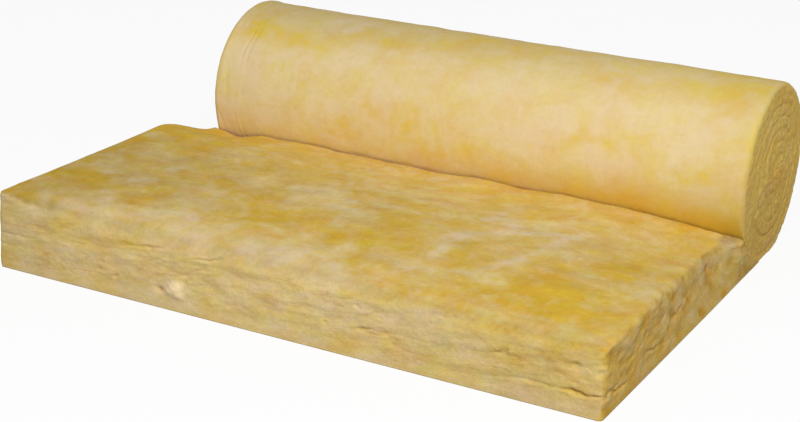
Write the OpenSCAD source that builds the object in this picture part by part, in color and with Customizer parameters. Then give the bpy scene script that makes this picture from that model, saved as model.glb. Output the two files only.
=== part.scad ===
// Glass wool insulation roll, partly unrolled: one continuous blanket.
// The flat length has sprung up to its loft, more at its left side than at its
// right. Towards the back it thins, passes under the roll and becomes the
// roll's outermost turn.
// +X runs along the roll, +Y from the cut edge to the roll, +Z up.
// The origin is on the floor, in the middle of the part's outline.

/* [Flat length] */
// Width of the blanket, which is also the length of the roll
blanket_w = 1200; // [600:10:1400]
// Distance from the cut edge to the axis of the roll
flat_l = 828; // [700:1:1500]
// Thickness of the flat length at its left side
left_t = 150; // [110:1:170]
// Thickness of the flat length at its right side
right_t = 126; // [110:1:170]
// Rounding of the flat length's top edges
edge_r = 26; // [8:1:40]

/* [Taper into the roll] */
// Distance over which the left side thins in front of the roll
left_taper = 200; // [150:1:450]
// Distance over which the right side thins in front of the roll
right_taper = 620; // [150:1:700]
// Height at which the top of the flat length meets the roll, up to the drop
left_nip_t = 100; // [60:1:105]
// Height at which the top of the flat length meets the roll, at the right side
right_nip_t = 80; // [60:1:105]
// Distance from the right side over which the meeting line drops
nip_drop_l = 230; // [100:10:600]

/* [Layer splits at the right front corner] */
// Height of the lower split
lower_split_z = 38; // [25:1:50]
// Height of the upper split
upper_split_z = 80; // [65:1:85]
// Length of the splits along the cut edge
split_front_l = 330; // [100:10:500]
// Length of the splits along the right side
split_side_l = 280; // [100:10:500]
// Height of the opening at the corner
split_gape = 9; // [4:1:16]
// Depth of the opening at the corner
split_depth = 28; // [10:1:50]

/* [Roll] */
// Diameter of the roll
roll_d = 350; // [300:1:420]
// Depth by which the roll settles flat on the floor
roll_sag = 10; // [4:1:20]
// Rounding of the outermost turn at both ends
rim_r = 18; // [6:1:30]

/* [Turns] */
// Thickness of one compressed turn
turn_t = 26; // [16:1:40]
// Radius at which the innermost turn closes on itself
eye_r = 12; // [8:1:20]
// Distance by which the eye lies behind the roll's axis
eye_back = 30; // [0:1:40]
// Width of the groove between two turns, at the end face
groove_w = 9; // [3:1:14]
// Depth of the groove between two turns
groove_depth = 14; // [4:1:25]

/* [Hidden] */

wool_colour = [0.86, 0.71, 0.40];
half_w = blanket_w / 2;
roll_r = roll_d / 2;
axis_z = roll_r - roll_sag;
total_l = flat_l + roll_r;
front_y = -total_l / 2;
axis_y = front_y + flat_l;

// The top of the flat length runs on under the roll by this much.
nip_lap = 12;

// Cuts reach this far out of the surface that they open.
overshoot = 2;
below_floor = roll_sag + overshoot;
edge_steps = 6;
length_steps = 20;
width_steps = 12;

// A split narrows to this share of its opening at its two ends.
split_end = 0.1;

// The first groove dives from the nip to the underside of the roll, where
// the outermost turn is squeezed between the floor and the next turn.
dive_angle = 90;
dive_depth = roll_sag + turn_t / 2;
turn_span = (roll_r - dive_depth - eye_r) / turn_t * 360;
turn_step = 12;

function mix(a, b, t) = a + (b - a) * t;
function smooth(t) = let(c = min(max(t, 0), 1)) c * c * (3 - 2 * c);

// The nip is the line where the top of the flat length meets the roll. Its
// place and its angle around the roll follow from its height.
function nip_y(nip_t) = axis_y - sqrt(pow(roll_r, 2) - pow(axis_z - nip_t, 2));
function nip_angle(nip_t) = atan2(nip_t - axis_z, nip_y(nip_t) - axis_y);

// Height of the flat length's top at a place x, y
function top_z(x, y) = let(
        across = (x + half_w) / blanket_w,
        taper = mix(left_taper, right_taper, across),
        nip_t = mix(right_nip_t, left_nip_t, smooth((half_w - x) / nip_drop_l)))
    mix(nip_t, mix(left_t, right_t, across), smooth((nip_y(nip_t) - y) / taper));

// Point on the flat length's top, lowered by a drop
function top_point(x, y, drop) = [x, y, top_z(x, y) - drop];

// Cross-section of the flat length at a place y, with its top lowered by a drop
function section(y, drop) = concat(
    [[-half_w, y, -below_floor], [half_w, y, -below_floor]],
    [for (i = [0:edge_steps]) let(a = 90 * i / edge_steps)
        top_point(half_w - edge_r * (1 - cos(a)), y, drop + edge_r * (1 - sin(a)))],
    [for (i = [1:width_steps - 1])
        top_point(mix(half_w - edge_r, edge_r - half_w, i / width_steps), y, drop)],
    [for (i = [0:edge_steps]) let(a = 90 * i / edge_steps)
        top_point(edge_r * (1 - sin(a)) - half_w, y, drop + edge_r * (1 - cos(a)))]);

// Sections along the blanket: the rounded cut edge, the taper, the roll
function flat_sections() = concat(
    [for (i = [0:edge_steps]) let(a = 90 * i / edge_steps)
        section(front_y + edge_r * (1 - cos(a)), edge_r * (1 - sin(a)))],
    [for (i = [1:length_steps])
        section(mix(front_y + edge_r, nip_y(min(left_nip_t, right_nip_t)) + nip_lap, i / length_steps), 0)],
    [section(axis_y, 0)]);

// Solid through a list of closed rings that have equally many points, each
// counter-clockwise when seen along the way from the first to the last
module loft(rings) {
    per_ring = len(rings[0]);
    last = len(rings) - 1;
    polyhedron(
        points = [for (ring = rings) each ring],
        faces = concat(
            [[for (j = [per_ring - 1:-1:0]) j]],
            [for (i = [0:last - 1], j = [0:per_ring - 1]) let(k = (j + 1) % per_ring)
                [i * per_ring + j, i * per_ring + k, (i + 1) * per_ring + k, (i + 1) * per_ring + j]],
            [[for (j = [0:per_ring - 1]) last * per_ring + j]]));
}

// Wedge between two layers that have parted, deepest at the right front corner
module layer_split(z) {
    rise = split_gape / 2;
    front_x = half_w - split_front_l;
    side_y = front_y + split_side_l;
    loft([
        [[front_x, front_y - overshoot, z - rise * split_end],
         [front_x, front_y - overshoot, z + rise * split_end],
         [front_x, front_y + split_depth * split_end, z]],
        [[half_w + overshoot, front_y - overshoot, z - rise],
         [half_w + overshoot, front_y - overshoot, z + rise],
         [half_w - split_depth, front_y + split_depth, z]],
        [[half_w + overshoot, side_y, z - rise * split_end],
         [half_w + overshoot, side_y, z + rise * split_end],
         [half_w - split_depth * split_end, side_y, z]]]);
}

// Radius and place of the groove at an angle that is counted from the nip
function groove_r(angle) = roll_r - dive_depth * smooth(angle / dive_angle) - turn_t * angle / 360;
function groove_point(start, angle, x, off) = let(
        a = start + angle,
        r = groove_r(angle) + off,
        shift = eye_back * angle / turn_span)
    [x, axis_y + shift + r * cos(a), axis_z + r * sin(a)];

// Groove between the turns on one end face, with a V-shaped section
module turn_groove(start) {
    steps = ceil(turn_span / turn_step);
    mouth = groove_w / 2 * (1 + overshoot / groove_depth);
    loft([for (i = [0:steps]) let(angle = turn_span * i / steps)
        [groove_point(start, angle, half_w + overshoot, mouth),
         groove_point(start, angle, half_w + overshoot, -mouth),
         groove_point(start, angle, half_w - groove_depth, 0)]]);
}

// Wound part of the blanket: a turned solid with rounded rims
module wound_turns() {
    translate([-half_w, axis_y, axis_z]) rotate([0, 90, 0]) rotate_extrude($fn = 180) {
        square([roll_r - rim_r, blanket_w]);
        translate([0, rim_r]) square([roll_r, blanket_w - 2 * rim_r]);
        for (z = [rim_r, blanket_w - rim_r])
            translate([roll_r - rim_r, z]) circle(rim_r, $fn = 48);
    }
}

// Everything under the level on which the blanket lies
module floor_cut() {
    translate([-blanket_w, -total_l, -total_l]) cube([2 * blanket_w, 2 * total_l, total_l]);
}

module glass_wool_blanket() {
    color(wool_colour) difference() {
        union() {
            loft(flat_sections());
            wound_turns();
        }
        floor_cut();
        turn_groove(nip_angle(right_nip_t));
        mirror([1, 0, 0]) turn_groove(nip_angle(left_nip_t));
        for (z = [lower_split_z, upper_split_z]) layer_split(z);
    }
}

glass_wool_blanket();
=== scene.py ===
import math

import bpy
import numpy as np
from mathutils import Matrix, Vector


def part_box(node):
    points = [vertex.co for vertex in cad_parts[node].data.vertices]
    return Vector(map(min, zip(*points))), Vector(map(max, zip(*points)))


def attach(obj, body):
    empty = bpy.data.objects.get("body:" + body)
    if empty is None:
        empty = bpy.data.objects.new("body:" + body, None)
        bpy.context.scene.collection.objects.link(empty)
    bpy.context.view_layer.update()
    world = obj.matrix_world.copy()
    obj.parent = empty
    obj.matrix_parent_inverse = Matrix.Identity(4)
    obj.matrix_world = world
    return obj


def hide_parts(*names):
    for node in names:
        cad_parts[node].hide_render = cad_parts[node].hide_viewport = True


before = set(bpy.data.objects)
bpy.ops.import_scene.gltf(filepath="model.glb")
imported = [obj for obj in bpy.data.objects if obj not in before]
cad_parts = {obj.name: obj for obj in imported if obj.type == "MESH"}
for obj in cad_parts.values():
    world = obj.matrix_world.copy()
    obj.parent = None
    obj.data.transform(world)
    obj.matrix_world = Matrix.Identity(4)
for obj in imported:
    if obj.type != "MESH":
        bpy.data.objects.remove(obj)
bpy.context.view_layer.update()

# A glass wool blanket, partly unrolled: a flat length that passes under a roll and becomes its outer turn
NODE = "glass_wool_blanket"
BODY = "root"

# Sizes of the blanket, in metres. The outline comes from the frame.
LOW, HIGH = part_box(NODE)
HALF_W = HIGH.x
FRONT_Y = LOW.y
ROLL_R = 0.175
AXIS_Y = HIGH.y - ROLL_R
AXIS_Z = HIGH.z - ROLL_R
LEFT_T = 0.150
RIGHT_T = 0.126
LEFT_TAPER = 0.190
RIGHT_TAPER = 0.620
LEFT_NIP_T = 0.100
RIGHT_NIP_T = 0.080
NIP_DROP_L = 0.230

# The photograph's frame and the camera that took it
IMAGE_W = 800
IMAGE_H = 422
SENSOR_MM = 36
FOCAL_PX = 1734
PRINCIPAL_PX = (421, 157)
CAMERA_AT = (1.483, -2.764, 1.236)
CAMERA_YAW, CAMERA_PITCH, CAMERA_ROLL = (math.radians(a) for a in (28.16, 18.57, 1.40))


# Noise and shaping. A noise layer is the numbers that fractal takes, from the height on.

NOISE_CELLS = 256
NOISE_GAIN = 1.6


def noise(points, seed):
    """Smooth gradient noise, about -1 to 1, at points in units of its own cells."""
    rng = np.random.default_rng(seed)
    table = rng.permutation(NOISE_CELLS)
    slopes = rng.normal(size=(NOISE_CELLS, 3))
    slopes /= np.linalg.norm(slopes, axis=1)[:, None]
    cell = np.floor(points).astype(int)
    part = points - cell
    fade = part ** 3 * (part * (part * 6 - 15) + 10)
    total = np.zeros(len(points))
    for corner in np.ndindex(2, 2, 2):
        at = (cell + corner) % NOISE_CELLS
        key = table[(table[(table[at[:, 0]] + at[:, 1]) % NOISE_CELLS] + at[:, 2]) % NOISE_CELLS]
        weight = np.prod(np.where(corner, fade, 1 - fade), axis=1)
        total += weight * np.einsum("ij,ij->i", slopes[key], part - corner)
    return total * NOISE_GAIN


def fractal(points, height, size, seed, octaves, gain=0.5):
    """Noise of a height, whose largest features are about size metres: one number, or one for each axis."""
    scaled = points / np.asarray(size)
    return height * sum(gain ** k * noise(scaled * 2 ** k, seed + k) for k in range(octaves))


def patchy(points, mean, layer, low=0, high=1):
    """A share that varies around a mean by a noise layer, kept between two limits."""
    return np.clip(mean + fractal(points, *layer), low, high)


def smooth(low, high, value):
    """0 up to low, 1 from high on, and a smooth step between them."""
    t = np.clip((value - low) / (high - low), 0, 1)
    return t * t * (3 - 2 * t)


def mix(a, b, t):
    """A value that goes from a to b as t goes from 0 to 1."""
    return a + (b - a) * t


def change(value, start, end):
    """A smooth change between two points, each given as (value, amount)."""
    return mix(start[1], end[1], smooth(start[0], end[0], value))


def bell(distance, width):
    """1 in the middle, falling off over a width."""
    return np.exp(-(distance / width) ** 2)


# The nip, where the top of the flat length meets the roll

NIP_WAVE = 0.005, 0.20, 25, 5, 0.55
NIP_DIP, NIP_DIP_X, NIP_DIP_W = 0.013, -0.530, 0.045


def in_dip(x):
    """Share of each place in the small dip of the nip near the left end."""
    return bell(x - NIP_DIP_X, NIP_DIP_W)


def nip_height(x):
    """Height of the nip, which drops at the right and dips a little at the left."""
    level = mix(RIGHT_NIP_T, LEFT_NIP_T, smooth(0, NIP_DROP_L, HALF_W - x))
    return level - NIP_DIP * in_dip(x)


def nip_wave(x):
    """Rise and fall of the nip along the roll."""
    return fractal(np.stack([x, 0 * x, 0 * x], -1), *NIP_WAVE)


def nip_place(nip_z):
    """Y of the roll's front surface at the height of the nip."""
    return AXIS_Y - np.sqrt(ROLL_R ** 2 - (AXIS_Z - nip_z) ** 2)


def nip_angle(x):
    """Angle of the nip around the roll's axis, from +Y towards +Z, up to a whole turn."""
    nip_z = nip_height(x) + nip_wave(x)
    return np.arctan2(nip_z - AXIS_Z, nip_place(nip_z) - AXIS_Y) % (2 * math.pi)


NIP_Y = nip_place(RIGHT_NIP_T)


# Meshes

def new_piece(name, vertices, faces, material, attributes):
    """A smooth-shaded mesh that rides on the part's body, with a float attribute for each name."""
    mesh = bpy.data.meshes.new(name)
    mesh.from_pydata(vertices.tolist(), [], faces)
    mesh.validate()
    mesh.polygons.foreach_set("use_smooth", np.ones(len(mesh.polygons), bool))
    for key, values in attributes.items():
        layer = mesh.attributes.new(key, "FLOAT", "POINT")
        layer.data.foreach_set("value", np.asarray(values, np.float32))
    mesh.materials.append(material)
    piece = bpy.data.objects.new(name, mesh)
    bpy.context.scene.collection.objects.link(piece)
    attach(piece, BODY)
    return piece


def quads(index):
    """Faces over a two-dimensional array of vertex numbers."""
    corners = index[:-1, :-1], index[1:, :-1], index[1:, 1:], index[:-1, 1:]
    return np.stack(corners, axis=-1).reshape(-1, 4).tolist()


# Flat length: its block, whose end is hidden in the roll

HIDDEN_END_FROM_AXIS = 0.030
FLAT_END_Y = AXIS_Y - HIDDEN_END_FROM_AXIS
FLAT_X_CELLS, FLAT_Y_CELLS, FLAT_Z_CELLS = 350, 112, 72
NIP_Y_CELLS, HIDDEN_Y_CELLS = 22, 5
BEFORE_NIP, BEHIND_NIP = 0.024, 0.012
NIP_ZONE = NIP_Y - BEFORE_NIP, NIP_Y + BEHIND_NIP
WELD_STEPS_PER_M = 1e6
BLOCK_T = 0.140
FRONT_EDGE_R = 0.034
LEFT_EDGE_R = 0.008
RIGHT_EDGE_R = 0.014
CORNER_R = 0.009
CORNER_BLEND_L = 0.110
CORNER_BLEND_Z = 0.3 * BLOCK_T, 0.7 * BLOCK_T

# The right side leans in, between two distances from the cut edge, and stands upright beside the roll.
LEAN_W, LEAN_FROM, LEAN_TO = 0.040, 0.050, 0.650
LEAN_L = 0.150
UPRIGHT_L = 0.100


def top_height(x, y):
    """Height of the flat length's top: more at the left, less towards the nip."""
    across = (x + HALF_W) / (2 * HALF_W)
    taper = mix(LEFT_TAPER, RIGHT_TAPER, across)
    nip_z = nip_height(x)
    return mix(nip_z, mix(LEFT_T, RIGHT_T, across), smooth(0, 1, (nip_place(nip_z) - y) / taper))


def torn_in(y):
    """Distance from the right side to the line where the top's skin ends, which grows towards the roll."""
    return LEAN_W * smooth(LEAN_FROM, LEAN_TO, y - FRONT_Y)


def lean(y):
    """Distance by which the top of the right side leans in."""
    return torn_in(y) * (1 - smooth(-UPRIGHT_L, 0, y - NIP_Y))


def block_grids():
    """Points on a plain block's top, front, right and left, laid out to face outwards."""
    xs = np.linspace(-HALF_W, HALF_W, FLAT_X_CELLS + 1)
    ys = np.concatenate([
        np.linspace(FRONT_Y, NIP_ZONE[0], FLAT_Y_CELLS + 1),
        np.linspace(*NIP_ZONE, NIP_Y_CELLS + 1)[1:],
        np.linspace(NIP_ZONE[1], FLAT_END_Y, HIDDEN_Y_CELLS + 1)[1:]])
    zs = np.linspace(0, BLOCK_T, FLAT_Z_CELLS + 1)

    def grid(x, y, z):
        return np.stack(np.broadcast_arrays(x, y, z), axis=-1).astype(float)

    return (grid(xs[:, None], ys[None, :], BLOCK_T), grid(xs[:, None], FRONT_Y, zs[None, :]),
            grid(HALF_W, ys[:, None], zs[None, :]), grid(-HALF_W, ys[None, :], zs[:, None]))


def weld(grids):
    """One vertex list for several grids, and each grid as an array of vertex numbers."""
    points = np.concatenate([g.reshape(-1, 3) for g in grids])
    keys = np.round(points * WELD_STEPS_PER_M).astype(np.int64)
    _, first, number = np.unique(keys, axis=0, return_index=True, return_inverse=True)
    ends = np.cumsum([g.shape[0] * g.shape[1] for g in grids])[:-1]
    parts = np.split(number.reshape(-1), ends)
    return points[first], [n.reshape(g.shape[:2]) for n, g in zip(parts, grids)]


def rounded(points):
    """The block's points with its top edges and corners rounded, and the normals there."""
    x, y, z = points.T
    right_r = mix(CORNER_R, RIGHT_EDGE_R, smooth(*CORNER_BLEND_Z, z))
    side_r = mix(LEFT_EDGE_R, right_r, smooth(-HALF_W / 2, HALF_W / 2, x))
    front_r = mix(side_r, FRONT_EDGE_R, smooth(0, CORNER_BLEND_L, HALF_W - np.abs(x)))
    radii = np.stack([side_r, front_r, front_r], axis=-1)
    inner = np.stack([np.clip(x, side_r - HALF_W, HALF_W - side_r),
                      np.maximum(y, FRONT_Y + front_r),
                      np.minimum(z, BLOCK_T - front_r)], axis=-1)
    away = (points - inner) / radii
    away /= np.linalg.norm(away, axis=1)[:, None]
    normals = away / radii
    return inner + away * radii, normals / np.linalg.norm(normals, axis=1)[:, None]


# Flat length: places of its cracks, pits, knots, patches and creases

CRACK_W = 0.0026
# Cracks on the cut edge: start and end as (x, z), and depth
FRONT_CRACKS = (
    ((-0.335, 0.101), (-0.225, 0.116), 0.0032),
    ((-0.175, 0.106), (-0.105, 0.119), 0.0036),
    ((-0.610, 0.066), (-0.500, 0.074), 0.0020),
    ((-0.620, 0.047), (-0.570, 0.050), 0.0036),
    ((0.150, 0.053), (0.198, 0.063), 0.0032),
    ((0.200, 0.059), (0.290, 0.062), 0.0014),
    ((0.282, 0.122), (0.312, 0.126), 0.0030),
    ((0.300, 0.110), (0.360, 0.124), 0.0028),
    ((0.400, 0.072), (0.450, 0.084), 0.0026),
    ((0.508, 0.067), (0.562, 0.051), 0.0028),
    ((0.530, 0.083), (0.590, 0.087), 0.0010),
)
# Pits on the cut edge: centre as (x, z), radius and depth
FRONT_PITS = (
    ((-0.243, 0.036), 0.0070, 0.0055),
    ((-0.372, 0.045), 0.0050, 0.004),
    ((-0.338, 0.041), 0.0045, 0.004),
    ((0.420, 0.074), 0.0060, 0.0022),
    ((0.548, 0.042), 0.0060, 0.005),
    ((0.098, 0.051), 0.0040, 0.003),
    ((0.211, 0.059), 0.0040, 0.003),
    ((0.158, 0.095), 0.0040, 0.002),
    ((0.552, 0.085), 0.0070, 0.003),
    ((0.594, 0.080), 0.0060, 0.003),
)
# Knots of pale wool on the cut edge: centre as (x, z), radius and height
FRONT_KNOTS = (
    ((-0.214, 0.040), 0.013, 0.006),
    ((-0.200, 0.043), 0.013, 0.006),
    ((0.342, 0.120), 0.005, 0.002),
    ((0.440, 0.081), 0.006, 0.003),
)
# Patches on the cut edge that are more golden or paler: centre as (x, z), size and amount
FRONT_PATCHES = (
    ((0.470, 0.135), (0.140, 0.032), -0.35),
    ((0.430, 0.078), (0.026, 0.015), -0.30),
    ((-0.310, 0.106), (0.050, 0.011), -0.30),
    ((-0.145, 0.108), (0.040, 0.012), -0.20),
    ((-0.460, 0.095), (0.070, 0.014), -0.15),
    ((0.040, 0.105), (0.060, 0.018), -0.18),
    ((-0.585, 0.020), (0.030, 0.018), -0.30),
    ((-0.030, 0.085), (0.120, 0.016), 0.10),
    ((0.142, 0.113), (0.020, 0.008), -0.30),
    ((0.203, 0.107), (0.015, 0.008), -0.20),
    ((0.530, 0.020), (0.080, 0.022), 0.18),
    ((0.400, 0.100), (0.060, 0.012), 0.12),
)
# Cracks and pits on the sides, with the distance from the cut edge in place of x
SIDE_CRACKS = (
    ((0.020, 0.034), (0.110, 0.026), 0.006),
    ((0.090, 0.060), (0.200, 0.074), 0.005),
    ((0.170, 0.050), (0.290, 0.022), 0.005),
    ((0.300, 0.050), (0.420, 0.062), 0.005),
)
SIDE_PITS = (
    ((0.018, 0.040), 0.006, 0.006),
    ((0.046, 0.038), 0.005, 0.005),
    ((0.270, 0.073), 0.007, 0.007),
    ((0.386, 0.066), 0.007, 0.006),
    ((0.179, 0.079), 0.006, 0.006),
    ((0.540, 0.061), 0.006, 0.006),
    ((0.676, 0.071), 0.006, 0.007),
    ((0.712, 0.042), 0.006, 0.007),
)
# Layer splits at the right front corner: height, gape, depth, and length on the front and on the side
CORNER_SPLITS = (
    (0.040, 0.0028, 0.007, 0.160, 0.080),
    (0.082, 0.0040, 0.0008, 0.090, 0.060),
)
# Patches on the top that are more golden or paler: centre as (x, distance from the cut edge), size, amount
TOP_PATCHES = (
    ((0.450, 0.130), (0.120, 0.085), -0.22),
    ((0.455, 0.190), (0.075, 0.035), -0.40),
    ((0.435, 0.090), (0.085, 0.045), -0.45),
    ((0.360, 0.270), (0.025, 0.025), -0.30),
    ((0.500, 0.340), (0.060, 0.070), -0.26),
    ((0.050, 0.370), (0.030, 0.045), -0.25),
    ((0.060, 0.175), (0.055, 0.030), -0.20),
    ((0.090, 0.280), (0.040, 0.028), -0.15),
    ((-0.125, 0.155), (0.042, 0.026), -0.42),
    ((-0.200, 0.250), (0.035, 0.022), -0.20),
    ((-0.330, 0.240), (0.035, 0.022), -0.20),
    ((-0.340, 0.115), (0.070, 0.030), -0.26),
    ((-0.350, 0.360), (0.032, 0.026), -0.30),
    ((-0.505, 0.160), (0.036, 0.026), -0.35),
    ((-0.490, 0.540), (0.100, 0.090), -0.42),
    ((-0.560, 0.540), (0.060, 0.080), -0.60),
    ((-0.600, 0.280), (0.055, 0.300), -0.45),
    ((0.240, 0.430), (0.105, 0.060), 0.28),
    ((0.570, 0.220), (0.045, 0.070), 0.22),
    ((-0.510, 0.208), (0.040, 0.024), 0.32),
    ((-0.420, 0.200), (0.028, 0.020), 0.32),
    ((-0.050, 0.310), (0.100, 0.045), 0.12),
    ((0.050, 0.520), (0.110, 0.060), 0.10),
    ((0.225, 0.036), (0.045, 0.014), -0.35),
    ((0.280, 0.046), (0.030, 0.014), -0.35),
)
# Pale creases across the top, as points (x, distance from the cut edge)
TOP_CREASES = (
    ((0.18, 0.100), (0.30, 0.150), (0.34, 0.285), (0.36, 0.470)),
    ((0.20, 0.180), (0.20, 0.330), (0.33, 0.430)),
)


def crack_depth(along, height, cracks):
    """Depth of a face's cracks at places along it and heights above the floor."""
    total = np.zeros(len(along))
    for (start, end, depth) in cracks:
        t = (along - start[0]) / (end[0] - start[0])
        line = mix(start[1], end[1], t)
        total += depth * np.clip(1 - (2 * t - 1) ** 2, 0, 1) * bell(height - line, CRACK_W)
    return total


def spots(along, height, places):
    """Sum of round bumps, each given as (centre, radius, height)."""
    total = np.zeros(len(along))
    for (centre, radius, size) in places:
        total += size * bell(np.hypot(along - centre[0], height - centre[1]), radius)
    return total


def patches(a, b, places):
    """Sum of soft oval patches, each given as (centre, size, amount)."""
    total = np.zeros(len(a))
    for (centre, size, amount) in places:
        total += amount * bell(np.hypot((a - centre[0]) / size[0], (b - centre[1]) / size[1]), 1)
    return total


def from_line(a, b, points):
    """Distance of places (a, b) from a line through some points."""
    nearest = np.full(len(a), np.inf)
    for (a0, b0), (a1, b1) in zip(points, points[1:]):
        da, db = a1 - a0, b1 - b0
        t = np.clip(((a - a0) * da + (b - b0) * db) / (da ** 2 + db ** 2), 0, 1)
        nearest = np.minimum(nearest, np.hypot(a - a0 - t * da, b - b0 - t * db))
    return nearest


# Flat length: which face a point belongs to. A range of a normal's share goes from none to all.

TOP_UP = 0.50, 0.97
FRONT_OUT = 0.4, 0.9
OVER_EDGE_UP = 0.1, 0.4
SIDE_OUT_FROM = 0.45, 0.15
SIDE_OUT_TO = 0.95, 0.45
EDGE_RAGS = 0.25, 0.022, 27, 2
EDGE_RAGS_UP = 0.1, 0.5
LINE_RAGS = 0.008, 0.030, 29, 3
LINE_BLEND = 0.005
LEANING_FROM = 0.05, 0.12


def flat_zones(p, n):
    """Share of each point in the cut faces, the cut edge, the sides and the side's leaning stretch."""
    x, y, _ = p.T
    up = n[:, 2]
    rags = fractal(p, *EDGE_RAGS) * smooth(*EDGE_RAGS_UP, up)
    cut = 1 - smooth(*TOP_UP, up + rags)
    front = smooth(*FRONT_OUT, -n[:, 1]) * cut
    over_edge = smooth(*OVER_EDGE_UP, up)
    side_out = smooth(mix(*SIDE_OUT_FROM, over_edge), mix(*SIDE_OUT_TO, over_edge), np.abs(n[:, 0]))
    past_line = x - HALF_W + torn_in(y) - lean(y) + fractal(p, *LINE_RAGS)
    leaning = smooth(-LINE_BLEND, LINE_BLEND, past_line) * smooth(*LEANING_FROM, y - FRONT_Y)
    return np.maximum(cut, leaning), front, np.maximum(side_out * cut, leaning), leaning


# Flat length: relief. Amounts that change from one place to another are two points (place, amount).

BROAD_SWELLS = 0.0045, 0.30, 11, 2
SMALL_SWELLS = 0.0024, (0.12, 0.07, 1), 15, 3
SWELLS_FROM_LEFT = (0, 0.25), (0.12, 1)
LAYER_RISE = 0.15
LAYER_BEND = 0.010, (0.22, 0.22, 0.10), 31, 2
LAYERS = 0.0007, (0.30, 0.30, 0.018), 35, 2
LAYERS_ACROSS = (-0.3, 0.5), (0.4, 1)
STREAKS = 0.0003, (0.06, 0.06, 0.008), 41, 2
FRONT_LUMPS = 0.0016, (0.050, 0.050, 0.028), 45, 3
SIDE_KNOBS = 1, (0.055, 0.055, 0.030), 47, 2
SIDE_BITS = 0.6, 0.016, 49, 2
KNOB_HEIGHT_ACROSS = (-0.5, 0.00084), (0.5, 0.0024)
RIDGES = 1, (0.070, 0.070, 0.020), 63, 2
CREVICE_RIDGES = 0.86, 0.98
CREVICE_PLACES = 1, (0.12, 0.12, 0.06), 67, 2
CREVICES_FROM = 0.10, 0.45
CREVICE_DEPTH = 0.0008
CALM_FOOT_Z = 0.045
PLACE_SHIFT = 0.004, 0.020, 51, 2
PLACE_RISE = 0.004, (0.025, 0.025, 0.012), 53, 2
CRACK_SHARE = 0.6
CRACK_BREAKS = 1.1, (0.03, 0.03, 0.015), 57, 2


def from_above(p):
    """The points without their heights, for noise that is the same all the way down."""
    return p * (1, 1, 0)


def top_swells(p):
    """Soft swells and puffs of the top, calmer near the left side."""
    swells = fractal(from_above(p), *BROAD_SWELLS) + fractal(from_above(p), *SMALL_SWELLS)
    return swells * change(p[:, 0] + HALF_W, *SWELLS_FROM_LEFT)


def torn_wool(p, cut, front, side):
    """Relief of the cut faces, fading towards the floor, with the sides' knobs and the crevices."""
    x, _, z = p.T
    bent = p + np.outer(fractal(p, *LAYER_BEND) - LAYER_RISE * x, (0, 0, 1))
    layers = change(x, *LAYERS_ACROSS) * fractal(bent, *LAYERS)
    streaks = fractal(bent, *STREAKS)
    knobs = fractal(p, *SIDE_KNOBS) + fractal(p, *SIDE_BITS)
    lumps = front * fractal(p, *FRONT_LUMPS) + side * knobs * change(x, *KNOB_HEIGHT_ACROSS)
    ridges = 1 - np.abs(fractal(bent, *RIDGES))
    crevices = cut * smooth(*CREVICE_RIDGES, ridges) * smooth(*CREVICES_FROM, fractal(p, *CREVICE_PLACES))
    relief = (layers + streaks + lumps - CREVICE_DEPTH * crevices) * smooth(0, CALM_FOOT_Z, z)
    return relief, knobs, crevices


def torn_places(p, shift, rise, cut, front, side):
    """Depths of the cut faces' cracks and pits, and heights of their knots, all with ragged edges."""
    x, y, z = p.T
    from_edge = y - FRONT_Y
    height = z + rise
    cracks = front * crack_depth(x, height, FRONT_CRACKS)
    cracks += side * crack_depth(from_edge, height, SIDE_CRACKS)
    around = np.maximum(HALF_W - x, 0) + from_edge
    for (split_z, gape, depth, front_l, side_l) in CORNER_SPLITS:
        reach = np.clip(1 - around / mix(side_l, front_l, front), 0, 1)
        cracks += depth * reach * bell(height - split_z, gape) * cut
    cracks *= patchy(p, CRACK_SHARE, CRACK_BREAKS)
    pits = front * spots(x + shift, height, FRONT_PITS)
    pits += side * spots(from_edge + shift, height, SIDE_PITS)
    knots = front * spots(x + shift, height, FRONT_KNOTS)
    return cracks, pits, knots


# Flat length: looks. Paleness goes from gold to blush. The shade attribute is painted light and shade, and
# the share that is darker and browner is mostly painted shade, with a browner tone on the sides.

SMUDGE_LIMITS = 0.2, 2
TOP_SMUDGES = 1.2, (0.05, 0.035, 1), 59, 3
TOP_PALE = 0.42
TOP_PATCH_RAGS, FRONT_PATCH_RAGS, TOP_CREASE_RAGS = 6, 4, 2
TOP_CREASE_PALE, TOP_CREASE_W = 0.35, 0.014
CREAM_ACROSS = (-0.1, 0.72), (0.5, 0.58)
VEIL_RAGS = 0.07, 0.08, 55, 3
VEIL_BACK = (0.05, 1), (0.14, 0)
VEIL_LEFT = (-0.58, 0.1), (-0.36, 0.8)
VEIL_RIGHT = (0.15, 1), (0.35, 0)
VEIL_PALE, VEIL_LIGHT = 0.1, 0.05
SIDE_PALE, KNOB_PALE = 0.34, 0.30
LEANT_PALE = (0.02, 0), (0.07, 3.0)
# Painted shade on the torn stretch of the top beside the roll, per metre of its width
LEANT_DARK = 3.6
TUFT_HEIGHTS = 0.001, 0.005
TUFT_LIGHT = 0.2
# Painted light and shade: the top lighter far back and darker at the left, the cut edge darker to the right
# and at its left end, the sides darker, the rounded front edge no lighter than its faces, the foot lighter
# and the leaning stretch darker
FAR_FROM = 0.30, 0.60
TOP_SHADE = 0.88
FAR_LIGHT = (0.3, 0.13), (-0.1, 0.18)
FAR_RIGHT_DARK = (0.35, 0), (0.55, 0.05)
LEFT_DARK = (-0.1, 0), (-0.5, 0.13)
FRONT_SHADE = (0, 1), (0.5, 0.88)
FRONT_LEFT_DARK = (-0.6, 0.06), (-0.4, 0)
FRONT_EDGE_DARK = 0.18
SIDE_SHADE = 0.94
FOOT_LIGHT = (0, 0.08), (0.03, 0)
LEANING_DARK = (0.05, 0), (0.45, 0.12)
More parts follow.
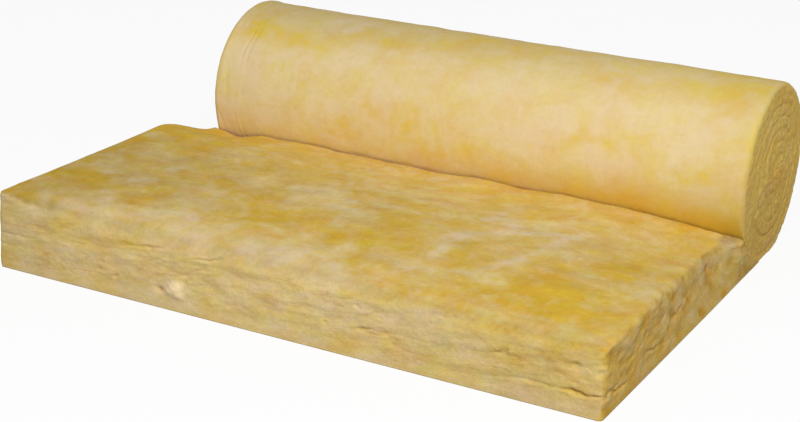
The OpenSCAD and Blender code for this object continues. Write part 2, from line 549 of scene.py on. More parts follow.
# Painted shade: darker and browner in pits, cracks, crevices and between the side's knobs, and a painted
# shadow under the side's upper edge
PIT_HOLLOW = (0.001, 0), (0.007, 1)
CRACK_HOLLOW = (0.0004, 0), (0.0050, 0.7)
CREVICE_HOLLOW = 0.22
KNOB_GAP_HOLLOW = (0.1, 0.15), (0.9, 0.50)
OVERHANG_AT, OVERHANG_W = 0.80, 0.08
OVERHANG_SHARE, OVERHANG_SHADOW = 0.7, 0.15
OVERHANG_BREAKS = 1, 0.05, 69, 2


def cream_veil(p):
    """Share of each place in the cream that reaches from the cut edge up over the left of the top."""
    x, y, _ = p.T
    ragged = y - FRONT_Y + fractal(from_above(p), *VEIL_RAGS)
    return change(ragged, *VEIL_BACK) * change(x, *VEIL_LEFT) * change(x, *VEIL_RIGHT)


def flat_pale(p, shift, rise, front, side, veil, knobs):
    """Paleness: golden and pale patches on the top, a creamy cut edge, and sides that follow their knobs."""
    x, y, z = p.T
    from_edge = y - FRONT_Y
    smudges = patchy(from_above(p), 1, TOP_SMUDGES, *SMUDGE_LIMITS)
    ragged_x, ragged_y = x + TOP_PATCH_RAGS * shift, from_edge + TOP_PATCH_RAGS * rise
    golden = TOP_PALE + smudges * patches(ragged_x, ragged_y, TOP_PATCHES)
    for points in TOP_CREASES:
        away = from_line(x + TOP_CREASE_RAGS * shift, from_edge + rise, points)
        golden += TOP_CREASE_PALE * bell(away, TOP_CREASE_W)
    creamy = change(x, *CREAM_ACROSS) + patches(x + FRONT_PATCH_RAGS * shift, z + rise, FRONT_PATCHES)
    creamy += VEIL_PALE * (1 - front)
    return mix(mix(golden, creamy, np.maximum(front, veil)), SIDE_PALE + KNOB_PALE * knobs, side)


def flat_shade(p, n, cut, front, side, leaning, veil):
    """Painted light and shade: less at the left of the top, and no more on the rounded front edge than on its
    faces.
    """
    x, y, z = p.T
    far = smooth(*FAR_FROM, y - FRONT_Y)
    top = TOP_SHADE + change(x, *FAR_LIGHT) * far - change(x, *LEFT_DARK) * (1 - far) * (1 - veil)
    cut_edge = change(x, *FRONT_SHADE) - change(x, *FRONT_LEFT_DARK)
    shade = mix(mix(top + VEIL_LIGHT * veil, cut_edge, front), SIDE_SHADE, side)
    # Painted shade that takes the lamp's extra light off the rounded front edge
    shade -= FRONT_EDGE_DARK * (2 * n[:, 1] * n[:, 2]) ** 2
    # Painted light near the floor, and painted shade on the leaning stretch, which faces the lamp more
    shade += np.maximum(front, side) * change(z, *FOOT_LIGHT)
    shade -= leaning * change(n[:, 2], *LEANING_DARK)
    return shade - change(x, *FAR_RIGHT_DARK) * far * (1 - cut)


def flat_painted_shade_and_brown(p, side, pits, cracks, crevices, knobs):
    """Share of painted shade in pits, cracks and crevices, between the sides' knobs and as a shadow under
    their upper edge, and of a browner tone all over the sides.
    """
    x, y, z = p.T
    painted_shade_and_brown = np.maximum(change(pits, *PIT_HOLLOW), change(cracks, *CRACK_HOLLOW))
    painted_shade_and_brown = np.maximum(painted_shade_and_brown, CREVICE_HOLLOW * crevices)
    overhang_shadow = bell(z / top_height(x, y) - OVERHANG_AT, OVERHANG_W)
    overhang_shadow *= patchy(p, OVERHANG_SHARE, OVERHANG_BREAKS)
    return np.maximum(painted_shade_and_brown, side * (change(-knobs, *KNOB_GAP_HOLLOW) + OVERHANG_SHADOW * overhang_shadow))


def flat_surface(p, n):
    """Relief of the flat length's surface and the looks of its wool."""
    x, y, z = p.T
    cut, front, side, leaning = flat_zones(p, n)
    shift, rise = fractal(p, *PLACE_SHIFT), fractal(p, *PLACE_RISE)
    torn, knobs, crevices = torn_wool(p, cut, front, side)
    cracks, pits, knots = torn_places(p, shift, rise, cut, front, side)
    relief = mix(top_swells(p), torn, cut) - pits - cracks + knots

    veil = cream_veil(p)
    tufts = smooth(*TUFT_HEIGHTS, knots)
    leant = torn_in(y) * side * smooth(0, HALF_W, x)
    pale = flat_pale(p, shift, rise, front, side, veil, knobs) + tufts + leant * change(z, *LEANT_PALE)
    # Painted light and shade, with the pale tufts lighter and painted shade on the torn stretch beside the
    # roll
    shade = flat_shade(p, n, cut, front, side, leaning, veil) + TUFT_LIGHT * tufts - LEANT_DARK * leant
    painted_shade_and_brown = flat_painted_shade_and_brown(p, side, pits, cracks, crevices, knobs)
    return relief, {"painted_shade_and_brown": painted_shade_and_brown, "pale": pale, "shade": shade, "cut": cut}


# Flat length: how its sides stand, and how it meets the roll

LEFT_TUCK = 0.010
RIGHT_TUCK = 0.001
TUCK_L = 0.200
HIDDEN_TUCK, HIDDEN_TUCK_L = 0.015, 0.020
FLARE_LOW, FLARE_HIGH, FLARE_L = 0.010, 0.004, 0.300
UNDER_R = 0.012
UNDER_INSET = 0.001
ABOVE_FLOOR = 0.001
LIP_L = 0.150
LIP_W = 0.006
LIP_DROP = 0.010
LIP_WAVE_Z = 0.02, 0.07
LIP_DROP_Z = 0.03, 0.06
BESIDE_OUT = 0.4, 0.9
BESIDE_L = 0.05
BESIDE_SHADE = 0.90
NIP_GOLD, NIP_GOLD_L = 0.1, 0.03
# Painted shade in the crease of the nip, darker still in its dip
CREASE_L = 0.003
CREASE_ON_SIDES = (0.4, 1), (0.9, 0.15)
CREASE_HOLLOW = 0.70, 1
DIP_DARK = 0.3


def meet_roll(points, normals, on_floor):
    """Flare, lean and tuck the sides, and turn the top's wavy lip down. Gives the distances from the roll."""
    x, y, z = points.T.copy()
    flare = mix(FLARE_LOW, FLARE_HIGH, smooth(0, LEFT_T, z)) * (1 - smooth(0, FLARE_L, y - FRONT_Y))
    points[:, 0] -= flare * (1 - smooth(-HALF_W, FLARE_L - HALF_W, x))
    points[:, 0] -= lean(y) * np.clip(z / top_height(x, y), 0, 1) * smooth(HALF_W - LEAN_L, HALF_W, x)
    under = UNDER_INSET * (1 - smooth(0, UNDER_R, z))
    points[:, :2] -= normals[:, :2] * under[:, None]

    z = z + nip_wave(x) * smooth(NIP_Y - LIP_L, NIP_Y, y) * smooth(*LIP_WAVE_Z, z)
    gap = np.hypot(y - AXIS_Y, z - AXIS_Z) - ROLL_R
    larger = 1 + in_dip(x)
    z -= LIP_DROP * larger * (1 - smooth(0, LIP_W * larger, gap)) * smooth(*LIP_DROP_Z, z)
    points[:, 2] = np.where(on_floor, 0, np.maximum(z, ABOVE_FLOOR))

    tuck = np.where(x > 0, RIGHT_TUCK, LEFT_TUCK) * smooth(NIP_Y - TUCK_L, NIP_Y, y)
    tuck += HIDDEN_TUCK * smooth(0, HIDDEN_TUCK_L, -gap)
    points[:, 0] -= tuck * x / HALF_W
    return gap


def shade_nip(looks, gap, dip, sideways):
    """Looks of the wool near the roll: a set painted lightness beside it, golden in front of the nip, and
    painted shade in the crease itself.
    """
    near = np.maximum(gap, 0)
    beside_roll = bell(near, BESIDE_L) * smooth(*BESIDE_OUT, sideways)
    looks["shade"] = mix(looks["shade"], BESIDE_SHADE, beside_roll)
    looks["pale"] -= NIP_GOLD * bell(near, NIP_GOLD_L) * (1 - beside_roll)
    crease = (1 - smooth(0, CREASE_L, gap)) * change(sideways, *CREASE_ON_SIDES)
    looks["painted_shade_and_brown"] = np.maximum(looks["painted_shade_and_brown"], mix(*CREASE_HOLLOW, dip) * crease)
    looks["shade"] -= DIP_DARK * dip * crease


def flat_length(material):
    """The unrolled length: a rounded block that thins towards the roll, with the relief of its wool."""
    points, (top_i, front_i, right_i, left_i) = weld(block_grids())
    on_floor = points[:, 2] == 0
    points, normals = rounded(points)
    points[:, 2] *= top_height(points[:, 0], points[:, 1]) / BLOCK_T
    relief, looks = flat_surface(points, normals)
    points += normals * relief[:, None]
    dip = in_dip(points[:, 0])
    gap = meet_roll(points, normals, on_floor)
    shade_nip(looks, gap, dip, np.abs(normals[:, 0]))

    faces = [f for index in (top_i, front_i, right_i, left_i) for f in quads(index)]
    bottom = [*left_i[0, :], *right_i[::-1, 0], *front_i[::-1, 0][1:-1]]
    back = [right_i[-1, 0], *left_i[:, -1], *top_i[1:, -1], *right_i[-1, ::-1][1:-1]]
    faces += [[int(v) for v in bottom], [int(v) for v in back]]
    piece = new_piece("flat_length", points, faces, material, looks)
    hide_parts(NODE)


# Roll: its rings and turns

LEFT_INSET, RIGHT_INSET = 0.018, 0.004
ROLL_LEFT = -HALF_W + LEFT_INSET
ROLL_RIGHT = HALF_W - RIGHT_INSET
ROUND_CELLS = 256
LEFT_CELLS, BODY_CELLS, RIGHT_CELLS = 36, 172, 20
LEFT_ZONE, RIGHT_ZONE = 0.075, 0.060
CAP_RINGS = 60
RIM_RINGS = 7
RIM_R = 0.011
EYE_R = 0.002
EYE_BACK = 0.030
SETTLE = 0.002

# The rims are square where the outermost turn runs on into the flat length.
SQUARE_RIM = 0.85
SQUARE_FROM = math.radians(190), math.radians(215)
SQUARE_TO = math.radians(255), math.radians(305)
SQUARE_BLEND_L = 0.03

TURN_T = 0.026
TURNS = 6
DIVE_DEPTH = 0.023
DIVE_ANGLE = math.pi / 2
GROOVE_W = 0.0035
GROOVE_DEPTH = 0.003


def roll_profile():
    """Rings of the roll from the left eye to the right one: x, radius and outward normal (x, radial)."""
    left = [(ROLL_LEFT, r, -1, 0) for r in np.linspace(EYE_R, ROLL_R - RIM_R, CAP_RINGS)]
    for a in np.linspace(0, math.pi / 2, RIM_RINGS + 1)[1:]:
        c, s = math.cos(a), math.sin(a)
        left.append((ROLL_LEFT + RIM_R * (1 - c), ROLL_R - RIM_R * (1 - s), -c, s))
    right = [(ROLL_LEFT + ROLL_RIGHT - x, r, -nx, nr) for (x, r, nx, nr) in reversed(left)]
    first, last = ROLL_LEFT + RIM_R, ROLL_RIGHT - RIM_R
    xs = np.concatenate([
        np.linspace(first, first + LEFT_ZONE, LEFT_CELLS + 1)[1:],
        np.linspace(first + LEFT_ZONE, last - RIGHT_ZONE, BODY_CELLS + 1)[1:],
        np.linspace(last - RIGHT_ZONE, last, RIGHT_CELLS + 1)[1:-1]])
    return np.array(left + [(x, ROLL_R, 0, 1) for x in xs] + right)


def squared(x, radius, nx, nr, angle):
    """The rings' places and radii, with square rims where they are joined to the flat length."""
    square = SQUARE_RIM * RIM_R * smooth(*SQUARE_FROM, angle) * (1 - smooth(*SQUARE_TO, angle))
    past_rim = np.minimum(x - ROLL_LEFT, ROLL_RIGHT - x) - RIM_R
    out = np.sign(x) * square * (1 - np.abs(nx)) * bell(np.maximum(past_rim, 0), SQUARE_BLEND_L)
    return x + out, radius + square * (1 - nr) * np.minimum(radius / (ROLL_R - RIM_R), 1)


def groove_radius(angle):
    """Radius of the gap between two turns at an angle that is counted from the nip, in radians."""
    return ROLL_R - DIVE_DEPTH * smooth(0, DIVE_ANGLE, angle) - TURN_T * angle / (2 * math.pi)


# Roll: relief of its skin, the outermost turn, and of its ends

SKIN_SWELLS = 0.0014, (0.40, 0.22, 0.22), 61, 2
SKIN_DIMPLES = 0.0009, (0.06, 0.09, 0.09), 65, 3
FULLER_RIGHT = 0.0025
FULLER_UP = -0.2, 0.6
LEFT_FLARE, LEFT_FLARE_L = 0.003, 0.022
RIGHT_WAVE, RIGHT_WAVE_L = (0.001, 0.10, 77, 1), 0.020
# Creases around the roll's left end: distance from the end and depth
END_CREASES = ((0.018, 0.0016), (0.034, 0.0012), (0.056, 0.0015), (0.068, 0.0010))
END_CREASE_W = 0.0035
END_CREASE_WOBBLE = 0.012, 0.12, 71, 2
END_CREASE_SHARE = 0.5
END_CREASE_BREAKS = 1.2, (0.04, 0.08, 0.08), 75, 2
RIM_RAGS = 1, 0.013, 95, 2
RIM_RAGS_ACROSS = (-0.3, 0.0003), (0.3, 0.0007)
# The wool of the ends runs along the turns, whose length is taken at one mean radius.
MEAN_R = 0.10
ENDS_APART = 3.0
TURNS_APART = 0.7
GROOVE_SHARE = 0.45
GROOVE_BREAKS = 1, (0.08, 0.05, 1.0), 79, 2
STRANDS = 1, (0.08, 0.006, 1.0), 81, 2
STRAND_H = 0.0006
TURN_STEPS = 0.0020, (0.16, 1.0, 1.0), 85, 2
END_FUZZ = 0.0014, (0.5, 0.012, 0.012), 91, 3


def skin_relief(base, x, upwards):
    """Soft swells and dimples, more fullness at the right, and a flare and creases at the left end."""
    skin = fractal(base, *SKIN_SWELLS) + fractal(base, *SKIN_DIMPLES)
    skin += FULLER_RIGHT * smooth(0, HALF_W, x) * smooth(*FULLER_UP, upwards)
    from_left = x - ROLL_LEFT
    skin += LEFT_FLARE * bell(from_left, LEFT_FLARE_L)
    skin += bell(ROLL_RIGHT - x, RIGHT_WAVE_L) * fractal(base, *RIGHT_WAVE)
    wobble = fractal(base, *END_CREASE_WOBBLE)
    uneven = patchy(base, END_CREASE_SHARE, END_CREASE_BREAKS)
    for (place, depth) in END_CREASES:
        skin -= depth * uneven * bell(from_left + wobble - place, END_CREASE_W)
    return skin


def end_relief(base, x, radius, nx, angle):
    """Relief of the ends, with the gaps between their turns and the strands along them."""
    from_nip = (angle - nip_angle(x)) % (2 * math.pi)
    gap = np.full(len(x), 1.0)
    turn = np.zeros(len(x))
    for k in range(TURNS):
        groove_r = groove_radius(from_nip + 2 * math.pi * k)
        gap = np.minimum(gap, np.abs(radius - groove_r))
        turn += radius < groove_r
    along = (from_nip + 2 * math.pi * turn) * MEAN_R
    which_end = np.sign(nx) * ENDS_APART
    wound = np.stack([along, radius, which_end], -1)
    by_turn = np.stack([along, turn * TURNS_APART, which_end], -1)
    groove = bell(gap, GROOVE_W) * patchy(wound, GROOVE_SHARE, GROOVE_BREAKS)
    strands = fractal(wound, *STRANDS)
    relief = STRAND_H * strands + fractal(by_turn, *TURN_STEPS) + fractal(base, *END_FUZZ)
    return relief - GROOVE_DEPTH * groove, groove, strands


# Roll: looks of its skin, rims and ends

# Patches on the roll that are more golden or paler: centre as (x, angle in degrees), size and amount
ROLL_PATCHES = (
    ((-0.515, 128), (0.030, 10), -0.40),
    ((-0.420, 128), (0.050, 8), -0.38),
    ((-0.440, 151), (0.045, 5), -0.38),
    ((-0.270, 187), (0.050, 7), -0.36),
    ((-0.150, 114), (0.120, 10), -0.20),
    ((-0.130, 172), (0.070, 8), -0.36),
    ((-0.060, 186), (0.080, 6), -0.28),
    ((0.020, 95), (0.100, 9), -0.22),
    ((0.040, 180), (0.050, 6), -0.36),
    ((0.260, 124), (0.060, 8), -0.20),
    ((0.300, 162), (0.130, 7), -0.20),
    ((0.480, 169), (0.055, 6), -0.36),
    ((0.530, 106), (0.090, 16), -0.20),
    ((-0.320, 108), (0.060, 9), 0.26),
    ((-0.290, 136), (0.070, 9), 0.10),
    ((-0.350, 172), (0.120, 9), 0.10),
    ((-0.020, 136), (0.080, 10), 0.10),
    ((0.140, 117), (0.050, 8), 0.16),
    ((0.470, 140), (0.065, 10), 0.12),
    ((0.280, 174), (0.050, 4), 0.12),
)
PATCH_DRIFT = 0.5, 0.06, 87, 3
PATCH_DRIFT_X, PATCH_DRIFT_DEG = 0.06, 16
SKIN_SMUDGES = 1.2, 0.035, 93, 3
# The skin is paler and lighter where it faces the front and the lamp: painted light
FACING_FRONT = 0.26, 0.77
SKIN_PALE, FACING_PALE = 0.65, 0.20
NEAR_END = 0.42, 0.56
NEAR_END_GOLD, NEAR_END_DARK = 0.12, 0.03
# Amounts at the left and at the right end: painted shade where the skin faces up or back, and the painted
# shade over the nip, made orange by painted bounce light
TURNED_DARK = 0.13, 0.05
SHADED_L = 0.028, 0.060
SHADED_GOLD = 0.06, 0.78
SHADED_HOLLOW = 0.03, 0.46
# A thin dark line of painted shade right over the nip
NIP_LINE_HOLLOW, NIP_LINE_W = 0.6, 0.0020
RIM_OUT = 0.05, 0.35
END_OUT = 0.75, 1
LOW_END_OUT = 0.6, 0.8
BELOW_NIP_ANGLE = 0.15
FACING_DOWN = -0.3, 0.7
# The rims are paler straw: their own colour and a painted highlight
RIM_PALE = 0.52
END_PALE, STRAND_PALE = 0.38, 0.16
# The ends are browner all over, with painted shade in the gaps between turns and darker lower down, also
# painted shade
END_HOLLOW, GROOVE_HOLLOW, LOW_HOLLOW = 0.32, 0.30, 0.12
END_SHADE, STRAND_LIGHT, LOW_DARK = 1.11, 0.06, 0.07


def skin_looks(base, x, angle, above_nip):
    """The skin is palest in front and darker at the top, as painted light and shade, and orange in the
    painted shade above the nip.
    """
    across = smooth(ROLL_LEFT, ROLL_RIGHT, x)
    facing = smooth(*FACING_FRONT, -np.cos(angle))
    near_end = smooth(*NEAR_END, x)
    shaded = bell(above_nip, mix(*SHADED_L, across))
    drift = fractal(base, *PATCH_DRIFT)
    smudges = patchy(base, 1, SKIN_SMUDGES, *SMUDGE_LIMITS)
    drifted_x, drifted_angle = x + PATCH_DRIFT_X * drift, np.degrees(angle) + PATCH_DRIFT_DEG * drift
    pale = SKIN_PALE + FACING_PALE * facing - mix(*SHADED_GOLD, across ** 2) * shaded
    pale += smudges * patches(drifted_x, drifted_angle, ROLL_PATCHES) - NEAR_END_GOLD * near_end
    shade = 1 - mix(*TURNED_DARK, across) * (1 - facing) - NEAR_END_DARK * near_end
    nip_line = NIP_LINE_HOLLOW * bell(above_nip, NIP_LINE_W)
    return pale, shade, np.maximum(mix(*SHADED_HOLLOW, across ** 2) * shaded, nip_line)


def roll_looks(base, x, nx, angle, groove, strands):
    """Looks of the skin, of the paler straw rims with a painted highlight, and of the ends, a browner gold
    with paler strands, painted shade in their gaps and lower down.
    """
    above_nip = ROLL_R * (nip_angle(x) - angle)
    pale, shade, painted_shade_and_brown = skin_looks(base, x, angle, above_nip)
    below_nip = smooth(0, BELOW_NIP_ANGLE, -above_nip / ROLL_R)
    sideways = np.abs(nx)
    end = smooth(*END_OUT, sideways)
    rim = smooth(*RIM_OUT, sideways) * (1 - end) * (1 - below_nip)
    end = mix(end, smooth(*LOW_END_OUT, sideways), below_nip)
    low = smooth(*FACING_DOWN, -np.sin(angle))
    pale = mix(mix(pale, RIM_PALE, rim), END_PALE + STRAND_PALE * strands, end)
    shade = mix(shade, END_SHADE + STRAND_LIGHT * strands - LOW_DARK * low, end)
    painted_shade_and_brown = mix(painted_shade_and_brown, END_HOLLOW + GROOVE_HOLLOW * groove + LOW_HOLLOW * low, end)
    return {"painted_shade_and_brown": np.clip(painted_shade_and_brown, 0, 1), "pale": pale, "shade": shade, "cut": end}


def wound_turns(material):
    """The wound rest of the blanket: rings around its axis, flattened by the floor, with spiral ends."""
    profile = roll_profile()
    angles = np.linspace(0, 2 * math.pi, ROUND_CELLS, endpoint=False)
    x, radius, nx, nr = (np.repeat(column[:, None], ROUND_CELLS, 1).ravel() for column in profile.T)
    angle = np.tile(angles, len(profile))
    c, s = np.cos(angle), np.sin(angle)
    base = np.stack([x, radius * c, radius * s], -1)
    x, radius = squared(x, radius, nx, nr, angle)

    ends, groove, strands = end_relief(base, x, radius, nx, angle)
    looks = roll_looks(base, x, nx, angle, groove, strands)
    rags = change(x, *RIM_RAGS_ACROSS) * fractal(base, *RIM_RAGS) * (2 * nx * nr) ** 2
    relief = skin_relief(base, x, s) * nr + ends * looks["cut"] + rags

    radius = radius + relief * nr
    y = AXIS_Y + EYE_BACK * (1 - np.minimum(radius / ROLL_R, 1)) + radius * c
    z = AXIS_Z + radius * s
    z = SETTLE * np.logaddexp(0, z / SETTLE)
    points = np.stack([x + relief * nx, y, z], -1)

    index = np.arange(len(points)).reshape(len(profile), ROUND_CELLS)
    closed = np.concatenate([index, index[:, :1]], axis=1)
    faces = quads(closed) + [index[0].tolist(), index[-1, ::-1].tolist()]
    piece = new_piece("wound_roll", points, faces, material, looks)
    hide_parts(NODE)


# Materials

GOLD = (0.75, 0.465, 0.030, 1)
STRAW = (0.77, 0.515, 0.115, 1)
CREAM = (0.80, 0.585, 0.220, 1)
BLUSH = (0.84, 0.640, 0.360, 1)
SKIN_YELLOW = (0.81, 0.565, 0.050, 1)
SKIN_CORN = (0.81, 0.580, 0.120, 1)
SKIN_CREAM = (0.80, 0.600, 0.225, 1)
SKIN_BLUSH = (0.83, 0.650, 0.360, 1)
# Tone that the share of painted shade and browner wool multiplies by
SHADE_AND_BROWN_TONE = (0.70, 0.50, 0.24, 1)
WHITE = (1, 1, 1, 1)
MIDDLE_STOPS = (0.35, 0.65)
WOOL_ROUGHNESS = 0.95
WOOL_SPECULAR = 0.15
WOOL_SHEEN, WOOL_SHEEN_ROUGHNESS = 0.05, 0.6
TOP_TURN = 28
NOISE_MEAN = 0.5
SAME_HUE = 0.5


def add(tree, kind, inputs=(), **settings):
    """A shader node with its settings, and its inputs given as values or as sockets to link."""
    node = tree.nodes.new("ShaderNode" + kind)
    for key, value in settings.items():
        setattr(node, key, value)
    for key, value in dict(inputs).items():
        if isinstance(value, bpy.types.NodeSocket):
            tree.links.new(value, node.inputs[key])
        else:
            node.inputs[key].default_value = value
    return node


def maths(tree, operation, a, b):
    """Result of an operation on two values or sockets."""
    return add(tree, "Math", {0: a, 1: b}, operation=operation).outputs[0]


def blended(tree, factor, a, b, blend_type="MIX"):
    """Two colours blended by a factor. The node's colours are its inputs 6 and 7 and its output 2."""
    return add(tree, "Mix", {0: factor, 6: a, 7: b}, data_type="RGBA", blend_type=blend_type).outputs[2]


def attribute(tree, name):
    """A mesh's float attribute."""
    return add(tree, "Attribute", attribute_name=name).outputs["Fac"]


def noise_of(tree, place, size, turn=0, rise=0.0, detail=3, roughness=0.55, distortion=0.0, offset=0.0):
    """Noise around zero, with features of a size in metres along axes turned about Z and rising along X."""
    moved = add(tree, "Mapping", {
        "Vector": place, "Location": (offset,) * 3, "Scale": size,
        "Rotation": (0, -math.atan(rise), math.radians(turn))}, vector_type="TEXTURE")
    made = add(tree, "TexNoise", {
        "Vector": moved.outputs[0], "Scale": 1, "Detail": detail,
        "Roughness": roughness, "Distortion": distortion})
    return maths(tree, "SUBTRACT", made.outputs[0], NOISE_MEAN)


def layered(tree, place, start, patterns):
    """A value with noise patterns added, each given as (strength, where, noise settings).

    A pattern lies all over, on the cut faces, or on the rest of the mesh: the top or the skin.
    """
    value = start
    for strength, where, settings in patterns:
        part = maths(tree, "MULTIPLY", noise_of(tree, place, **settings), strength)
        if where != "all":
            cut = attribute(tree, "cut")
            share = cut if where == "cut" else maths(tree, "SUBTRACT", 1.0, cut)
            part = maths(tree, "MULTIPLY", part, share)
        value = maths(tree, "ADD", value, part)
    return value


def new_tree(name):
    """A new material and its empty node tree."""
    material = bpy.data.materials.new(name)
    material.use_nodes = True
    material.node_tree.nodes.clear()
    return material, material.node_tree


def finished(tree, shader):
    """Link a shader to the material's output."""
    out = add(tree, "OutputMaterial")
    tree.links.new(shader.outputs[0], out.inputs[0])


def wool(name, tones, pale, value, hue, bumps, bump_depth):
    """Matt wool, mottled between its tones, in lightness and in hue, and roughened by bumps."""
    material, tree = new_tree(name)
    place = add(tree, "TexCoord").outputs["Object"]
    ramp = add(tree, "ValToRGB", {"Fac": layered(tree, place, attribute(tree, "pale"), pale)})
    stops = ramp.color_ramp.elements
    stops[0].color = tones[0]
    stops[1].color = tones[-1]
    for position, tone in zip(MIDDLE_STOPS, tones[1:-1]):
        stops.new(position).color = tone
    # The shade attribute, painted light and shade, scales the lightness, and the share of painted shade and
    # browner wool multiplies the colour by its tone
    tinted = add(tree, "HueSaturation", {
        "Hue": layered(tree, place, SAME_HUE, hue),
        "Value": layered(tree, place, attribute(tree, "shade"), value),
        "Color": blended(tree, attribute(tree, "painted_shade_and_brown"), ramp.outputs[0], SHADE_AND_BROWN_TONE, "MULTIPLY")})
    bump = add(tree, "Bump", {
        "Height": layered(tree, place, 0.0, bumps), "Distance": bump_depth, "Strength": 1.0})
    finished(tree, add(tree, "BsdfPrincipled", {
        "Base Color": tinted.outputs[0], "Normal": bump.outputs[0],
        "Roughness": WOOL_ROUGHNESS, "Specular IOR Level": WOOL_SPECULAR,
        "Sheen Weight": WOOL_SHEEN, "Sheen Roughness": WOOL_SHEEN_ROUGHNESS}))
    return material


def flat_wool():
    """Wool of the flat length, whose mottling follows the layers on the cut faces."""
    pale = (
        (1.9, "top", dict(size=(0.09, 0.12, 0.06), turn=TOP_TURN, detail=5, roughness=0.62, distortion=0.8)),
        (0.9, "top", dict(size=(0.030, 0.038, 0.020), turn=TOP_TURN, detail=4, distortion=1.0, offset=4.0)),
        (1.3, "cut", dict(size=(0.09, 0.09, 0.045), rise=LAYER_RISE, detail=5, roughness=0.60, offset=9.0)),
        (0.5, "cut", dict(size=(0.028, 0.022, 0.012), rise=LAYER_RISE, detail=4, distortion=0.8, offset=6.0)),
    )
    value = (
        (0.22, "all", dict(size=(0.010, 0.010, 0.007), offset=13.0)),
        (0.24, "cut", dict(size=(0.006, 0.006, 0.005), offset=19.0)),
        (0.30, "all", dict(size=(0.060, 0.045, 0.030), turn=TOP_TURN, offset=15.0)),
    )
    hue = (
        (0.05, "all", dict(size=(0.060, 0.040, 0.030), turn=TOP_TURN, offset=17.0)),
    )
    bumps = (
        (0.15, "cut", dict(size=(0.020, 0.020, 0.007), rise=LAYER_RISE, distortion=0.6, offset=2.0)),
        (0.20, "cut", dict(size=(0.009, 0.009, 0.007), distortion=0.6, offset=5.0)),
        (0.35, "top", dict(size=(0.016, 0.009, 0.009), turn=TOP_TURN, distortion=0.8, offset=3.0)),
        (0.55, "all", dict(size=(0.0035, 0.0035, 0.0035), distortion=0.6)),
    )
    return wool("mottled_wool", (GOLD, STRAW, CREAM, BLUSH), pale, value, hue, bumps, bump_depth=0.0018)


def roll_wool():
    """Wool of the roll: a smooth skin with fine lines around it, and rough ends."""
    tones = (SKIN_YELLOW, SKIN_CORN, SKIN_CREAM, SKIN_BLUSH)
    pale = (
        (1.6, "skin", dict(size=(0.09, 0.065, 0.065), detail=6, roughness=0.68, distortion=0.6)),
        (0.22, "skin", dict(size=(0.006, 0.10, 0.10), detail=2, offset=7.0)),
        (0.4, "cut", dict(size=(0.050, 0.050, 0.050), detail=4, offset=5.0)),
        (0.4, "cut", dict(size=(0.007, 0.007, 0.007), offset=8.0)),
    )
    value = (
        (0.12, "all", dict(size=(0.012, 0.012, 0.012), offset=13.0)),
        (0.50, "cut", dict(size=(0.006, 0.006, 0.006), offset=15.0)),
    )
    hue = (
        (0.04, "all", dict(size=(0.070, 0.070, 0.070), offset=17.0)),
    )
    bumps = (
        (0.18, "skin", dict(size=(0.004, 0.033, 0.033), detail=2)),
        (0.35, "all", dict(size=(0.005, 0.005, 0.005), offset=3.0)),
        (0.40, "cut", dict(size=(0.008, 0.008, 0.008), detail=4, offset=1.0)),
    )
    return wool("smooth_wool", tones, pale, value, hue, bumps, bump_depth=0.0016)


flat_length(flat_wool())
wound_turns(roll_wool())


# Floor, light and camera

FLOOR_REACH = 20.0
FLOOR_SEEN = (0.92, 0.92, 0.92, 1)
FLOOR_BOUNCE = (0.35, 0.35, 0.35, 1)
FLOOR_GLOW = 0.90
WORLD_LEVEL = 0.42
KEY_POWER = 98
KEY_SIZE = 1.8
KEY_AT = (1.68, -2.64, 2.63)
KEY_TOWARDS = (0.0, 0.0, 0.15)


def make_floor():
    """A wide floor that is seen almost white and throws little light back."""
    mesh = bpy.data.meshes.new("floor")
    corners = [(x * FLOOR_REACH, y * FLOOR_REACH, 0) for x, y in ((-1, -1), (1, -1), (1, 1), (-1, 1))]
    mesh.from_pydata(corners, [], [(0, 1, 2, 3)])
    material, tree = new_tree("pale_floor")
    paths = add(tree, "LightPath").outputs
    mirrored = maths(tree, "MAXIMUM", paths["Is Glossy Ray"], paths["Is Transmission Ray"])
    seen = maths(tree, "MAXIMUM", paths["Is Camera Ray"], mirrored)
    diffuse = add(tree, "BsdfDiffuse", {"Color": blended(tree, seen, FLOOR_BOUNCE, FLOOR_SEEN)})
    glow = add(tree, "Emission", {"Color": WHITE, "Strength": 1.0})
    finished(tree, add(tree, "MixShader", {
        0: maths(tree, "MULTIPLY", seen, FLOOR_GLOW), 1: diffuse.outputs[0], 2: glow.outputs[0]}))
    mesh.materials.append(material)
    floor = bpy.data.objects.new("floor", mesh)
    bpy.context.scene.collection.objects.link(floor)


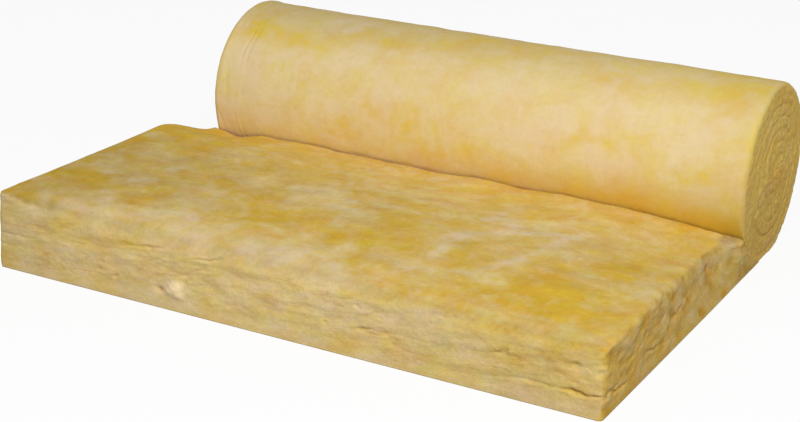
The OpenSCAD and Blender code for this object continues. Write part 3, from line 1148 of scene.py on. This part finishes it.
def aim(thing, place, right, up, ahead):
    """Link a camera or a lamp to the scene, at a place and along three axes."""
    turn = Matrix(np.stack([right, up, -ahead], -1).tolist()).to_4x4()
    thing.matrix_world = Matrix.Translation(place) @ turn
    bpy.context.scene.collection.objects.link(thing)


def make_light():
    """An even white surrounding and one large lamp in front, at the right."""
    world = bpy.data.worlds.new("studio")
    world.use_nodes = True
    background = world.node_tree.nodes["Background"].inputs
    background["Color"].default_value = WHITE
    background["Strength"].default_value = WORLD_LEVEL
    bpy.context.scene.world = world
    lamp = bpy.data.lights.new("key", "AREA")
    lamp.shape = "DISK"
    lamp.size = KEY_SIZE
    lamp.energy = KEY_POWER
    ahead = np.array(KEY_TOWARDS) - np.array(KEY_AT)
    ahead /= np.linalg.norm(ahead)
    right = np.cross(ahead, (0, 0, 1))
    right /= np.linalg.norm(right)
    aim(bpy.data.objects.new("key", lamp), KEY_AT, right, np.cross(right, ahead), ahead)


def make_camera():
    """The camera that took the photograph, whose middle lies off its optical axis."""
    yaw, pitch = CAMERA_YAW, CAMERA_PITCH
    ahead = np.array((-math.sin(yaw) * math.cos(pitch), math.cos(yaw) * math.cos(pitch), -math.sin(pitch)))
    level = np.array((math.cos(yaw), math.sin(yaw), 0.0))
    above = np.cross(level, ahead)
    right = math.cos(CAMERA_ROLL) * level + math.sin(CAMERA_ROLL) * above
    up = math.cos(CAMERA_ROLL) * above - math.sin(CAMERA_ROLL) * level
    lens = bpy.data.cameras.new("camera")
    lens.sensor_fit = "HORIZONTAL"
    lens.sensor_width = SENSOR_MM
    lens.lens = FOCAL_PX * SENSOR_MM / IMAGE_W
    lens.shift_x = (IMAGE_W / 2 - PRINCIPAL_PX[0]) / IMAGE_W
    lens.shift_y = (PRINCIPAL_PX[1] - IMAGE_H / 2) / IMAGE_W
    camera = bpy.data.objects.new("camera", lens)
    aim(camera, CAMERA_AT, right, up, ahead)
    bpy.context.scene.camera = camera


make_floor()
make_light()
make_camera()
bpy.context.scene.view_settings.view_transform = "Standard"

bpy.context.view_layer.update()
